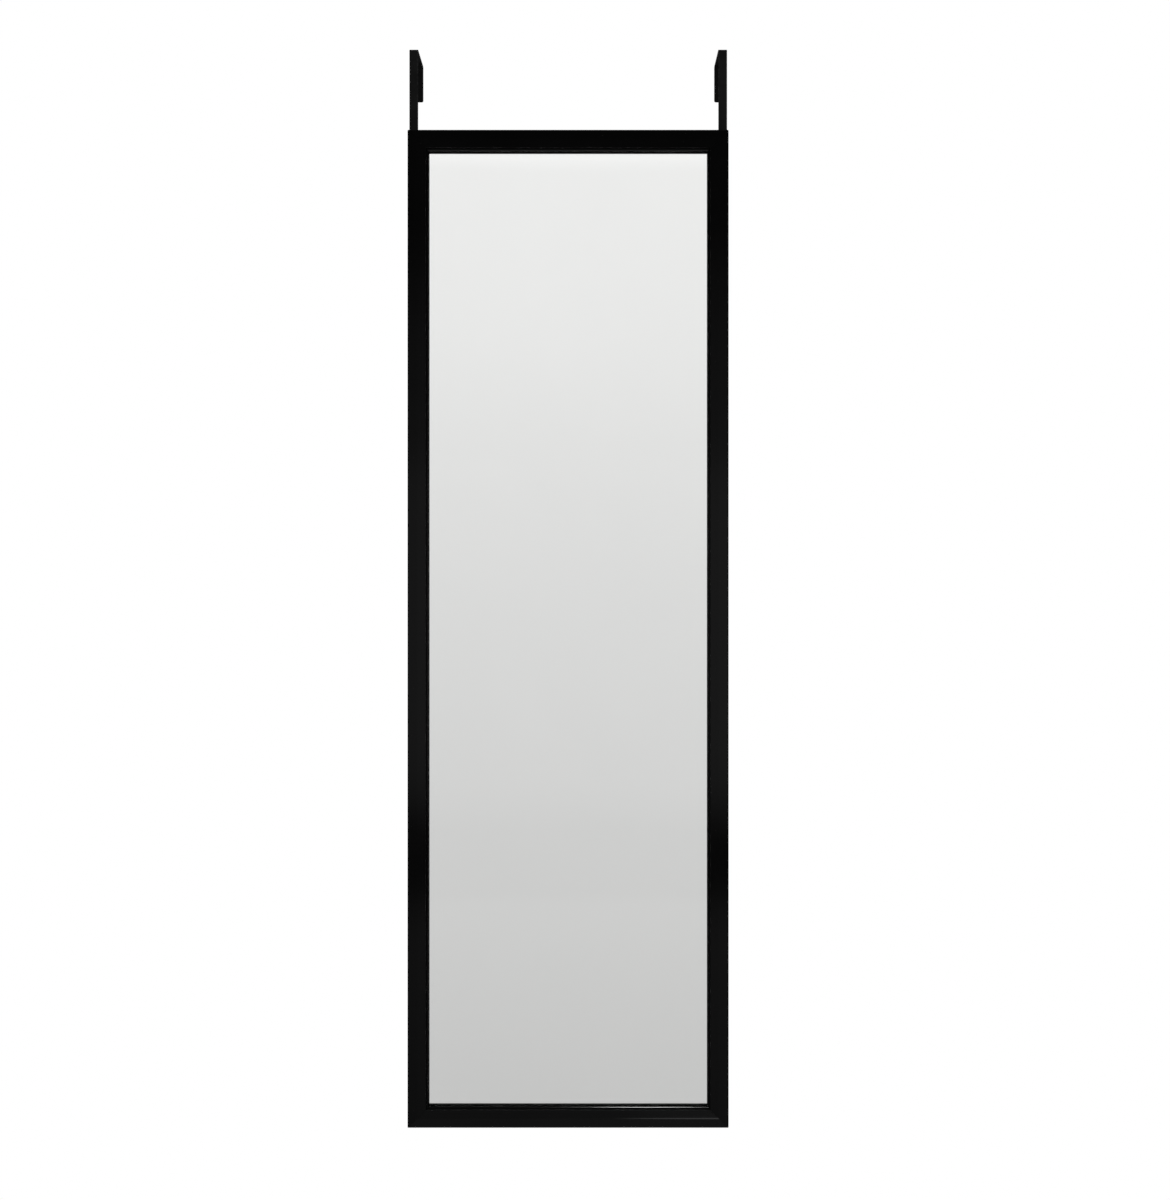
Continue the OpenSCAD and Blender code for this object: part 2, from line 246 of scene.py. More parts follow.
in_mirror = mixed(tree, spread(tree, height, *BACKDROP_EDGE, 0, 1),
                  by_height(tree, height, MIRROR_TONES), (1.0, 1.0, 1.0))
in_mirror = mixed(tree, spread(tree, height, *BACKDROP_TOP, 0, 1), in_mirror, CEILING)
in_gloss = scaled(tree, by_height(tree, height, GLOSS_TONES),
                  arithmetic(tree, "MULTIPLY", spread(tree, sideways, *LEFT_TO_RIGHT),
                             spread(tree, aside, *FAR_ASIDE)))
lit = mixed(tree, path.outputs["Is Glossy Ray"], MATT_LIGHT, in_gloss)
lit = mixed(tree, path.outputs["Is Transmission Ray"], lit, in_mirror)
shown = mixed(tree, path.outputs["Is Camera Ray"], lit, (1.0, 1.0, 1.0))
light = add(tree, "ShaderNodeBackground", {"Color": shown, "Strength": 1.0})
add(tree, "ShaderNodeOutputWorld", {"Surface": light.outputs[0]})
print("room tones:", len(MIRROR_TONES), "and", len(GLOSS_TONES))

# %% [markdown]
# ## The lamps
#
# Two soft boxes model the matt parts. They are kept out of the gloss, which would turn
# them into grey patches. Two strips do what small windows do on black gloss: each draws
# one thin bright line, along the bead and along the crest of the bottom rail. They light
# nothing but the gloss of that rail, or the mirror would show them.

# %% The lamps
def lamp(name, place, target, size, power):
    """A soft elliptical lamp at place, turned to target, kept out of camera and gloss."""
    data = bpy.data.lights.new(name, "AREA")
    data.shape = "ELLIPSE"
    data.size, data.size_y = size
    data.energy = power
    made = bpy.data.objects.new(name, data)
    made.location = place
    aim = Vector(target) - Vector(place)
    made.rotation_euler = aim.to_track_quat("-Z", "Y").to_euler()
    made.visible_camera = made.visible_transmission = made.visible_glossy = False
    scene.collection.objects.link(made)
    return made


def strip(name, place, target, size, power):
    """A lamp that only the gloss of the pieces in BRIGHT_LINED shows."""
    made = lamp(name, place, target, size, power)
    made.visible_glossy, made.visible_diffuse = True, False
    made.light_linking.receiver_collection = BRIGHT_LINED
    return made


MIDDLE = (0, 0, FRAME_MID)
BRIGHT_END = (90 * MM, FRONT_Y, frame_low.z)   # of the bottom rail, where both lines lie
BRIGHT_LINED = bpy.data.collections.new("bright-lined pieces")

# place and size in metres, power in watts
lamp("soft box front right", (1.5, -2.0, 0.5), MIDDLE, (1.3, 1.3), 18)
lamp("soft box back left", (-1.4, 2.0, 0.4), MIDDLE, (1.3, 1.3), 18)
strip("strip over the bead", (0.152, -1.2, -0.1), BRIGHT_END, (0.21, 0.50), 21)
strip("strip under the crest", (0.27, -1.0, -1.61), BRIGHT_END, (0.36, 0.24), 0.32)

# %% [markdown]
# ## Shared effects
#
# Nothing real has one even colour and one even gloss. Three small effects do most of the
# work here, each as a node group:
#
# * *grain*: a fine pattern, stretched along one axis where a finish runs that way;
# * *handling*: broad, soft patches where a surface was wiped or touched;
# * *dust*: a few pale specks.

# %% Shared effects
def grain_group():
    """Noise between 0 and 1. Stretch divides the pattern's frequency along each axis."""
    tree, start, end = new_group(
        "grain",
        [("Place", "Vector", None), ("Grains per metre", "Float", 1000.0),
         ("Stretch", "Vector", (1.0, 1.0, 1.0)), ("Layers", "Float", 3.0)],
        [("Grain", "Float")])
    stretched = add(tree, "ShaderNodeVectorMath",
                    {0: start.outputs["Place"], 1: start.outputs["Stretch"]},
                    operation="DIVIDE")
    noise = add(tree, "ShaderNodeTexNoise",
                {"Vector": stretched.outputs[0], "Scale": start.outputs["Grains per metre"],
                 "Detail": start.outputs["Layers"], "Roughness": 0.6})
    tree.links.new(noise.outputs["Fac"], end.inputs["Grain"])
    return tree


def handling_group():
    """A value that wanders between two limits over broad patches, and its share, 0 to 1."""
    tree, start, end = new_group(
        "handling",
        [("Place", "Vector", None), ("Patches per metre", "Float", 20.0),
         ("Least", "Float", 0.2), ("Most", "Float", 0.3)],
        [("Value", "Float"), ("Share", "Float")])
    broad = add(tree, "ShaderNodeTexNoise",
                {"Vector": start.outputs["Place"],
                 "Scale": start.outputs["Patches per metre"], "Detail": 4.0,
                 "Roughness": 0.55, "Distortion": 0.4})
    share = spread(tree, broad.outputs["Fac"], 0.3, 0.7, 0, 1)   # most noise lies between
    value = spread(tree, share, 0, 1, start.outputs["Least"], start.outputs["Most"])
    tree.links.new(value, end.inputs["Value"])
    tree.links.new(share, end.inputs["Share"])
    return tree


def dust_group():
    """A mask of small round specks, each in its own cell, with most cells left empty."""
    tree, start, end = new_group(
        "dust",
        [("Place", "Vector", None), ("Specks per metre", "Float", 300.0),
         ("Size", "Float", 0.12), ("Share of cells", "Float", 0.15)],
        [("Mask", "Float")])
    cells = add(tree, "ShaderNodeTexVoronoi",
                {"Vector": start.outputs["Place"],
                 "Scale": start.outputs["Specks per metre"]})
    near = arithmetic(tree, "LESS_THAN", cells.outputs["Distance"], start.outputs["Size"])
    pick = add(tree, "ShaderNodeSeparateColor", {0: cells.outputs["Color"]})
    used = arithmetic(tree, "LESS_THAN", pick.outputs[0], start.outputs["Share of cells"])
    tree.links.new(arithmetic(tree, "MULTIPLY", near, used), end.inputs["Mask"])
    return tree


GRAIN = grain_group()
HANDLING = handling_group()
DUST = dust_group()
print("node groups:", [g.name for g in bpy.data.node_groups])

# %% [markdown]
# ## Helpers for materials
#
# Each material is one Principled shader. What is the same all over a surface is set on
# the shader's own sockets, and only what changes over it comes from nodes.

# %% Helpers for materials
def new_material(name, **constants):
    """A material with the constant sockets of its shader set. Returns it, its node tree,
    its Principled shader and Object coordinates, which are metres in the shared frame."""
    made = bpy.data.materials.new(name)
    made.use_nodes = True
    tree = made.node_tree
    shader = tree.nodes["Principled BSDF"]
    for socket, value in constants.items():
        shader.inputs[socket.replace("_", " ")].default_value = value
    return made, tree, shader, add(tree, "ShaderNodeTexCoord").outputs["Object"]


def bump(tree, shader, height, distance, normal=None):
    """Raises the surface by height times distance, in metres, and feeds the shader."""
    inputs = {"Height": height, "Distance": distance}
    if normal is not None:
        inputs["Normal"] = normal
    raised = add(tree, "ShaderNodeBump", inputs).outputs["Normal"]
    tree.links.new(raised, shader.inputs["Normal"])
    return raised


def attribute(tree, name):
    """A value or vector that the mesh carries at each point."""
    return add(tree, "ShaderNodeAttribute", attribute_name=name)


def feed(tree, shader, **values):
    """Links each value to the shader's socket of that name, written with _ for a space."""
    for name, value in values.items():
        tree.links.new(value, shader.inputs[name.replace("_", " ")])


def grain(tree, place, per_metre, layers, stretch=(1.0, 1.0, 1.0)):
    """Places the grain group in a material and returns its value."""
    node = use(tree, GRAIN, {"Place": place, "Grains per metre": per_metre,
                             "Layers": layers, "Stretch": stretch})
    return node.outputs["Grain"]


def handled(tree, place, per_metre, least, most):
    """Places the handling group in a material and returns its value and its share."""
    node = use(tree, HANDLING, {"Place": place, "Patches per metre": per_metre,
                                "Least": least, "Most": most})
    return node.outputs["Value"], node.outputs["Share"]


# %% [markdown]
# ## The floor
#
# The mirror hangs on a door, about 0.9 m above the floor, so the floor lies well below
# the picture. It is a pale disc that fades out before its edge, so that no edge shows in
# the mirror, and it keeps the soft shadow for the views that look down on it.

# %% The floor
FLOOR_Z = -2.04           # below the top of a door of the usual height
FLOOR_SOLID = 0.55        # radius inside which the floor is solid
FLOOR_R = 1.15            # radius at which it has faded out

turns = np.linspace(0, 2 * np.pi, 96, endpoint=False)
rim = np.stack([FLOOR_R * np.cos(turns), FLOOR_R * np.sin(turns),
                np.full(turns.size, FLOOR_Z)], axis=1)
floor_mesh = bpy.data.meshes.new("floor")
floor_mesh.from_pydata(rim.tolist(), [], [list(range(turns.size))])
floor = bpy.data.objects.new("floor", floor_mesh)
scene.collection.objects.link(floor)

paint, tree, shader, place = new_material("pale floor", Roughness=0.9,
                                          Specular_IOR_Level=0.0)
mottle = add(tree, "ShaderNodeTexNoise", {"Vector": place, "Scale": 3.0, "Detail": 3.0})
flat = add(tree, "ShaderNodeVectorMath", {0: place, 1: (1, 1, 0)}, operation="MULTIPLY")
radius = add(tree, "ShaderNodeVectorMath", {0: flat.outputs[0]}, operation="LENGTH")
feed(tree, shader,
     Base_Color=ramp(tree, mottle.outputs["Fac"], [(0.3, 0.80), (0.7, 0.84)]),
     Alpha=spread(tree, radius.outputs["Value"], FLOOR_SOLID, FLOOR_R, 1, 0))
floor_mesh.materials.append(paint)
print("floor at", FLOOR_Z)

# %% [markdown]
# ## Black moulding
#
# The moulding is extruded plastic with a semi-gloss black skin. It is nearly black, with
# a weak shine, so the pale room only just shows in it. The extruder leaves very fine
# lines along the length. Those follow the piece round the frame, so they use an
# attribute that the sweep writes, the distances along and around the profile, and not
# the X, Y and Z of the room. The wall of the groove beside the bead and the side of the
# bead next to the glass show no bright line in the photograph, so they are dull, as
# places are where no polishing cloth reaches. The sweep marks both as `groove`.

# %% Black moulding
GROOVE_DULLNESS = 0.45    # added to the roughness where no cloth reaches
SKIN_H = 0.0015 * MM      # height of the draw lines, and of the grain of the skin


def moulding_finish():
    """Near-black plastic with lines along its length, soft patches and a little dust."""
    made, tree, shader, place = new_material("semi-gloss black moulding", IOR=1.5,
                                             Specular_IOR_Level=0.23)
    run = attribute(tree, "run").outputs["Vector"]
    lines = grain(tree, run, 900.0, 2.0, stretch=(400.0, 1.0, 1.0))
    skin = grain(tree, place, 700.0, 2.0)
    wiped, share = handled(tree, place, 14.0, 0.082, 0.105)
    specks = use(tree, DUST, {"Place": place, "Specks per metre": 420.0, "Size": 0.10,
                              "Share of cells": 0.03})
    shade = ramp(tree, share, [(0.0, 0.0007), (1.0, 0.0011)])
    gloss = arithmetic(tree, "ADD", wiped, arithmetic(tree, "MULTIPLY", skin, 0.04))
    dull = arithmetic(tree, "MULTIPLY", attribute(tree, "groove").outputs["Fac"],
                      GROOVE_DULLNESS)
    feed(tree, shader, Roughness=arithmetic(tree, "ADD", gloss, dull),
         Base_Color=mixed(tree, specks.outputs["Mask"], shade, (0.02, 0.02, 0.019)))
    drawn = bump(tree, shader, lines, SKIN_H)
    bump(tree, shader, skin, SKIN_H, normal=drawn)
    return made


MOULDING = moulding_finish()
print("material:", MOULDING.name)

# %% [markdown]
# ## Mirror glass and silver
#
# A mirror is two things: clear glass, and a film of silver on its back. Both are made
# here, so the sight edge is seen again behind the glass, as it is in the real one. Float
# glass is nearly perfect, and its colour shows only as a slight green.

# %% Mirror glass and silver
def glass_finish():
    """Clear glass with a hardly visible float wave and wiping haze."""
    made, tree, shader, place = new_material("float glass", IOR=1.5,
                                             Transmission_Weight=1.0)
    haze, share = handled(tree, place, 9.0, 0.0, 0.006)
    tint = ramp(tree, share, [(0.0, (0.985, 0.995, 0.99)), (1.0, (0.98, 0.992, 0.987))])
    feed(tree, shader, Base_Color=tint, Roughness=haze)
    bump(tree, shader, grain(tree, place, 12.0, 1.0), 0.002 * MM)
    return made


def silver_finish():
    """Polished silver, a touch duller in broad soft patches."""
    made, tree, shader, place = new_material("silvering", Metallic=1.0)
    film, share = handled(tree, place, 6.0, 0.0, 0.004)
    tint = ramp(tree, share, [(0.0, (0.945, 0.94, 0.935)), (1.0, (0.955, 0.95, 0.945))])
    feed(tree, shader, Base_Color=tint, Roughness=film)
    return made


GLASS = glass_finish()
SILVER = silver_finish()
print("materials:", GLASS.name, "and", SILVER.name)

# %% [markdown]
# ## Zinc-plated steel
#
# Screws, V nails and retaining points are zinc plated. Zinc is a bluish grey metal with a
# faint crystal pattern, and small parts that tumbled together in a box have fine
# scuffs.

# %% Zinc-plated steel
def zinc_finish():
    """Grey plated metal: crystal cells in tone, patches in gloss, and fine scuffs."""
    made, tree, shader, place = new_material("zinc-plated steel", Metallic=1.0)
    crystals = add(tree, "ShaderNodeTexVoronoi", {"Vector": place, "Scale": 1400.0})
    tone = add(tree, "ShaderNodeSeparateColor", {0: crystals.outputs["Color"]}).outputs[0]
    scuffs = grain(tree, place, 5000.0, 3.0, stretch=(1.0, 1.0, 6.0))
    wiped, _ = handled(tree, place, 350.0, 0.24, 0.42)
    plated = ramp(tree, tone, [(0.0, (0.50, 0.51, 0.54)), (1.0, (0.62, 0.62, 0.63))])
    scuffed = spread(tree, scuffs, 0.62, 0.75, 0, 0.5)
    feed(tree, shader, Base_Color=mixed(tree, scuffed, plated, (0.36, 0.36, 0.37)),
         Roughness=wiped)
    bump(tree, shader, scuffs, 0.006 * MM)
    return made


ZINC = zinc_finish()
print("material:", ZINC.name)

# %% [markdown]
# ## Powder-coated strap
#
# The hooks are flat steel with a satin black powder coat. The coat has the fine orange
# skin of melted powder. Along the rounded edges its colour is a little lighter in
# patches: a painted highlight, where the edges would catch the light. The sweep writes
# how near an edge each point is, as the attribute `edge`.

# %% Powder-coated strap
def powder_coat_finish():
    """Satin black with an orange-skin bump, and a painted highlight in patches along the
    edges.
    """
    made, tree, shader, place = new_material("satin black powder coat", IOR=1.5,
                                             Specular_IOR_Level=0.09)
    satin, share = handled(tree, place, 40.0, 0.34, 0.46)
    coat = ramp(tree, share, [(0.0, 0.0048), (1.0, 0.0074)])
    # painted highlight: lighter colour on the rounded edges, broken into patches
    edge_patches = spread(tree, grain(tree, place, 400.0, 4.0), 0.45, 0.7, 0, 0.8)
    painted_edge_highlight = arithmetic(tree, "MULTIPLY", attribute(tree, "edge").outputs["Fac"], edge_patches)
    feed(tree, shader, Base_Color=mixed(tree, painted_edge_highlight, coat, (0.020, 0.020, 0.020)),
         Roughness=satin)
    bump(tree, shader, grain(tree, place, 1100.0, 2.0), 0.02 * MM)
    return made


POWDER_COAT = powder_coat_finish()
print("material:", POWDER_COAT.name)

# %% [markdown]
# ## Hardboard
#
# Hardboard is pressed wood fibre: brown, smooth on one side, with short darker and paler
# fibres that lie every way. Two grains stretched across each other look like that, and
# cost less than fibres drawn one by one.

# %% Hardboard
def hardboard_finish():
    """Brown fibre board: two crossed sets of stretched fibres over broad tone patches."""
    made, tree, shader, place = new_material("pressed fibre board", IOR=1.45,
                                             Specular_IOR_Level=0.35)
    pressed, share = handled(tree, place, 7.0, 0.46, 0.60)
    lying = grain(tree, place, 1500.0, 3.0, stretch=(5.0, 1.0, 1.0))
    upright = grain(tree, place, 1300.0, 3.0, stretch=(1.0, 1.0, 5.0))
    fibres = arithmetic(tree, "MAXIMUM", lying, upright)
    board = ramp(tree, share, [(0.0, (0.200, 0.104, 0.049)), (1.0, (0.242, 0.130, 0.062))])
    paler = mixed(tree, spread(tree, fibres, 0.56, 0.74, 0, 0.75), board,
                  (0.42, 0.27, 0.15))
    dark = spread(tree, lying, 0.42, 0.30, 0, 0.8)
    feed(tree, shader, Base_Color=mixed(tree, dark, paler, (0.075, 0.036, 0.017)),
         Roughness=pressed)
    bump(tree, shader, fibres, 0.03 * MM)
    return made


HARDBOARD = hardboard_finish()
print("material:", HARDBOARD.name)

# %% [markdown]
# ## Foam, felt and rubber
#
# The foam is a sheet of closed cells, which a cell pattern gives in height, and in tone as
# painted shade that darkens the grooves between the cells. Felt is a mat of short black
# hairs: crossed grains again, finer and higher. The bumpers are soft black rubber with a
# matt, slightly dusty skin.

# %% Foam, felt and rubber
def foam_finish():
    """Off-white foam: closed cells that stand proud between fine grooves, darkened there by
    painted shade.
    """
    made, tree, shader, place = new_material("packing foam", Roughness=0.95,
                                             Specular_IOR_Level=0.15)
    cells = add(tree, "ShaderNodeTexVoronoi", {"Vector": place, "Scale": 900.0})
    edge = cells.outputs["Distance"]
    # painted shade: the tone darkens from each cell's middle into the grooves round it
    tone = ramp(tree, edge, [(0.0, (0.86, 0.86, 0.83)), (0.8, (0.70, 0.70, 0.67))])
    feed(tree, shader, Base_Color=tone)
    bump(tree, shader, edge, -0.15 * MM)
    return made


def felt_finish():
    """Black felt: tangled hairs in tone and bump, with a weak sheen."""
    made, tree, shader, place = new_material("black felt", Roughness=1.0, Sheen_Weight=0.02,
                                             Sheen_Roughness=0.6, Specular_IOR_Level=0.1)
    mat = arithmetic(tree, "MAXIMUM",
                     grain(tree, place, 2600.0, 5.0, stretch=(1.0, 1.0, 3.0)),
                     grain(tree, place, 2200.0, 5.0, stretch=(3.0, 1.0, 1.0)))
    tone = ramp(tree, mat, [(0.40, 0.001), (0.62, 0.003), (0.75, 0.010)])
    feed(tree, shader, Base_Color=tone)
    bump(tree, shader, mat, 0.12 * MM)
    return made


def rubber_finish():
    """Matt rubber with a fine moulded texture and a film of dust."""
    made, tree, shader, place = new_material("bumper rubber", IOR=1.5,
                                             Specular_IOR_Level=0.3)
    film, share = handled(tree, place, 220.0, 0.55, 0.75)
    tone = ramp(tree, share, [(0.0, 0.035), (1.0, 0.060)])
    feed(tree, shader, Base_Color=tone, Roughness=film)
    bump(tree, shader, grain(tree, place, 2400.0, 3.0), 0.02 * MM)
    return made


FOAM = foam_finish()
FELT = felt_finish()
RUBBER = rubber_finish()
print("materials:", FOAM.name, FELT.name, RUBBER.name)

# %% [markdown]
# ## Helpers for surfaces
#
# Every new piece is a grid of points, worked out as one array, and a list of faces
# between them. A closed ring of points that is carried along a path makes a tube, and two
# flat caps close it.

# %% Helpers for surfaces
SMOOTH_ANGLE = np.radians(32)   # edges sharper than this stay crisp


def make_piece(name, points, faces, finish, slot, stands_for=()):
    """Puts points and faces into a mesh object that rides on the body, with its finish, in
    place of the CAD nodes that it stands for. The slot argument is not used."""
    mesh = bpy.data.meshes.new(name)
    mesh.from_pydata(np.asarray(points, float).tolist(), [], faces)
    mesh.validate()
    mesh.materials.append(finish)
    mesh.polygons.foreach_set("use_smooth", np.ones(len(mesh.polygons), bool))
    mesh.update()
    made = bpy.data.objects.new(name, mesh)
    scene.collection.objects.link(made)
    if stands_for:
        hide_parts(*stands_for)
    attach(made, "root")
    return made


def tube_faces(stations, around):
    """Quads between the rings of a closed tube, and one cap at each end."""
    ring = np.arange(around)
    start = np.arange(stations - 1)[:, None] * around
    a, b = start + ring, start + (ring + 1) % around
    quads = np.stack([a, b, b + around, a + around], axis=-1).reshape(-1, 4)
    last = (stations - 1) * around
    return quads.tolist() + [ring[::-1].tolist(), (last + ring).tolist()]


def outward(points, faces):
    """The faces turned so that they all look outwards: the signed volume they enclose,
    the sum of a . (b x c) / 6 over their triangles, has to be positive."""
    points = np.asarray(points, float)
    volume = 0.0
    for size in sorted({len(f) for f in faces}):
        block = points[np.array([f for f in faces if len(f) == size])]
        for i in range(1, size - 1):
            crossed = np.cross(block[:, i], block[:, i + 1])
            volume += np.einsum("ij,ij->", block[:, 0], crossed) / 6
    return faces if volume > 0 else [f[::-1] for f in faces]


def tube(grid):
    """Points and outward faces of the closed tube over a grid of points, ring by ring."""
    points = grid.reshape(-1, 3)
    return points, outward(points, tube_faces(*grid.shape[:2]))


def write_attribute(piece, name, values, kind="FLOAT", field="value"):
    """Stores a value at each point of a piece, for its material to read."""
    layer = piece.data.attributes.new(name, kind, "POINT")
    layer.data.foreach_set(field, values.reshape(-1).astype(np.float32))


def mark_sharp(piece):
    """Edges sharper than SMOOTH_ANGLE stay crisp, and the rest are shaded smooth."""
    piece.data.set_sharp_from_angle(angle=SMOOTH_ANGLE)


def cut_away(piece, points, faces):
    """Takes the closed shape given by points and faces out of a piece, for good."""
    mesh = bpy.data.meshes.new("cutter")
    mesh.from_pydata(np.asarray(points, float).tolist(), [], faces)
    cutter = bpy.data.objects.new("cutter", mesh)
    scene.collection.objects.link(cutter)
    cut = piece.modifiers.new("cut", "BOOLEAN")
    cut.operation, cut.solver, cut.object = "DIFFERENCE", "EXACT", cutter
    depsgraph = bpy.context.evaluated_depsgraph_get()
    result = bpy.data.meshes.new_from_object(piece.evaluated_get(depsgraph))
    piece.modifiers.clear()
    old, piece.data = piece.data, result
    for used in (old, mesh):
        bpy.data.meshes.remove(used)
    result.name = piece.name


def arc(centre, radius, start, stop, steps):
    """Points on a circle about centre, from angle start to angle stop, in radians."""
    angle = np.linspace(start, stop, steps + 1)
    return np.stack([centre[0] + radius * np.cos(angle),
                     centre[1] + radius * np.sin(angle)], axis=1)


# %% [markdown]
# ## The moulding's profile
#
# Seen on its end, the moulding is a low roof: a slope up from the outer edge, a rounded
# crest, and a slope down to a small step. Below the step a round bead runs along the
# glass. Behind are the lip that holds the glass and the rebate for the back. Each curve
# is an arc, tangent to the slopes beside it, so light runs over it without a break.

# %% The moulding's profile
def slope_depth(u, side, fall):
    """Depth of the face at u, on the slope that falls from the crest: side is 1 on the
    inner side and -1 on the outer side."""
    rise = side * (u - CREST_U) - CREST_R * np.sin(fall)
    return CREST_R * (1 - np.cos(fall)) + rise * np.tan(fall)


def round_centre(wall, radius, side, fall):
    """Centre of the circle that rounds a slope into the wall at u = wall."""
    u = wall - side * radius
    return np.array([u, slope_depth(u, side, fall) + radius / np.cos(fall)])


def moulding_profile():
    """The closed outline as (u, v) rows: u from the outer edge to the sight edge, v from
    the front to the back. It runs over the face, round the bead and back along the lip."""
    quarter = np.pi / 2
    step_u = RAIL_W - BEAD_W
    bead = np.array([RAIL_W - BEAD_R, LIP_DEPTH - BEAD_RISE + BEAD_R])
    bead_step = -np.arccos((step_u - bead[0]) / BEAD_R)
    under_lip = LIP_DEPTH - 0.03 * MM     # a hair of air between the lip and the glass
    bead_foot = np.arcsin((under_lip - bead[1]) / BEAD_R)
    ease = 0.25 * MM                      # the edges behind aren't quite sharp
    return np.concatenate([
        arc(round_centre(0, EDGE_R, -1, OUTER_FALL), EDGE_R, -np.pi,
            -quarter - OUTER_FALL, 14),
        arc((CREST_U, CREST_R), CREST_R, -quarter - OUTER_FALL, -quarter + INNER_FALL, 10),
        arc(round_centre(step_u, STEP_R, 1, INNER_FALL), STEP_R,
            -quarter + INNER_FALL, 0, 10),
        arc(bead, BEAD_R, bead_step, bead_foot, 28),
        [[LAND_W, under_lip]],
        arc((LAND_W - ease, RAIL_D - ease), ease, 0, quarter, 3),
        [[BACK_CHAMFER, RAIL_D], [0, RAIL_D - BACK_CHAMFER]],
    ])


def held(outline, reach):
    """Adds a point at reach from both ends of each long flat of a closed outline, which
    keeps its smooth shading flat beside the arcs."""
    after = np.roll(outline, -1, axis=0)
    length = np.hypot(*(after - outline).T)
    flats = np.flatnonzero(length > 6 * reach)
    step = (after - outline)[flats] / length[flats, None] * reach
    return np.insert(outline, np.concatenate([flats + 1, flats + 1]),
                     np.concatenate([outline[flats] + step, after[flats] - step]), axis=0)


HOLD = 0.12 * MM

profile = held(moulding_profile(), HOLD)
print("profile:", len(profile), "points, size", np.ptp(profile, axis=0).round(4), "m")

# %% [markdown]
# ## The four rails
#
# A rail is the profile drawn along a straight line and sawn off at 45 degrees. On a grid
# that is simple: at each station along the rail, every point of the profile sits at a
# share of its own half length, and that half length shrinks by u, which is what a mitre
# does. The frame's four corners were rounded off after joining, so points outside a small
# circle at the corner are pulled back onto it.

# %% The four rails
SIDES = ["top", "right", "bottom", "left"]
END_ZONE = 6 * MM         # where stations are close together, for the rounded corner
END_STATIONS, MIDDLE_STATIONS = 22, 41
DULL_FROM = 0.65          # from the bead's top to its dull side, as a share of its radius


def stations_along(half):
    """Shares of the half length from -1 to 1: fine in both end zones, even between."""
    fine = 1 - END_ZONE / half * (1 - np.sin(np.linspace(0, np.pi / 2, END_STATIONS)))
    middle = np.linspace(-fine[0], fine[0], MIDDLE_STATIONS)
    return np.concatenate([-fine[::-1], middle[1:-1], fine])


def rounded_corner(x, u, half):
    """Points beyond the circle of CORNER_R at the outer corner move radially onto it."""
    dx, du = np.abs(x) - (half - CORNER_R), CORNER_R - u
    reach = np.hypot(dx, du)
    outside = (dx > 0) & (du > 0) & (reach > CORNER_R)
    pull = np.where(outside, CORNER_R / np.maximum(reach, 1e-9), 1.0)
    new_x = np.where(outside, np.sign(x) * (half - CORNER_R + dx * pull), x)
    return new_x, np.where(outside, CORNER_R - du * pull, u)


def rail_points(side, length):
    """Point (t, k) of the grid: profile point k at the share t of its half length, turned
    by quarters to its side of the frame. Returns the points and the distances along and
    around the profile."""
    half = length / 2
    share = stations_along(half)[:, None]
    u, v = profile.T
    along = share * (half - MITRE_GAP / np.sqrt(2) - u)
    x, u = rounded_corner(along, u, half)
    reach = (FRAME_W + FRAME_H - length) / 2
    turn = SIDES.index(side) * np.pi / 2
    z = reach - u
    points = np.stack([x * np.cos(turn) + z * np.sin(turn),
                       FRONT_Y + np.broadcast_to(v, x.shape),
                       FRAME_MID - x * np.sin(turn) + z * np.cos(turn)], axis=-1)
    steps = np.hypot(*np.diff(profile, axis=0).T)
    around = np.broadcast_to(np.concatenate([[0], np.cumsum(steps)]), x.shape)
    return points, np.stack([along, around, np.zeros_like(along)], axis=-1)


def in_groove(u, v):
    """Which profile points are dull: the wall of the step with its rounded edge, and the
    side of the bead next to the glass."""
    step_u = RAIL_W - BEAD_W
    wall = (np.abs(u - step_u + STEP_R / 2) < 0.6 * STEP_R) & (v < LIP_DEPTH)
    by_glass = (u > step_u) & (v > LIP_DEPTH - BEAD_RISE + DULL_FROM * BEAD_R)
    return wall | by_glass


def make_rail(name, side, length):
    """One length of moulding, with the attributes for its draw lines and its dull parts."""
    grid, run = rail_points(side, length)
    rail = make_piece(name + "_moulding", *tube(grid), MOULDING, "frame_black", [name])
    write_attribute(rail, "run", run, "FLOAT_VECTOR", "vector")
    write_attribute(rail, "groove", np.broadcast_to(in_groove(*profile.T), grid.shape[:2]))
    return rail


rails = {
    "top": make_rail("top_rail", "top", FRAME_W),
    "right": make_rail("right_stile", "right", FRAME_H),
    "bottom": make_rail("bottom_rail", "bottom", FRAME_W),
    "left": make_rail("left_stile", "left", FRAME_H),
}
BRIGHT_LINED.objects.link(rails["bottom"])
print("rails:", {side: len(rail.data.polygons) for side, rail in rails.items()})

# %% [markdown]
# ## Slots for the V nails
#
# The corners are held by V-shaped strips of steel, driven in across each mitre from
# behind. The CAD nails stay as they are, and the moulding gets the slots that they are
# driven into, or their tops would be buried. Each slot is a thin V prism, cut out with an
# exact boolean.

# %% Slots for the V nails
NAIL_W, NAIL_RISE, NAIL_T = 7.0 * MM, 2.6 * MM, 0.5 * MM
NAIL_H, NAIL_SUNK, NAIL_CLEAR = 7.0 * MM, 0.2 * MM, 0.05 * MM
NAIL_OUTER, NAIL_INNER = 6.5 * MM, 4.5 * MM   # from the ends of the mitre to the nails
NAIL_PLACES = (NAIL_OUTER + NAIL_RISE, LAND_W * np.sqrt(2) - NAIL_INNER)


def prism(outline, low_y, high_y):
    """A closed prism along Y over an outline of (x, z) rows."""
    return tube(np.stack([np.insert(outline, 1, y, axis=1) for y in (low_y, high_y)]))


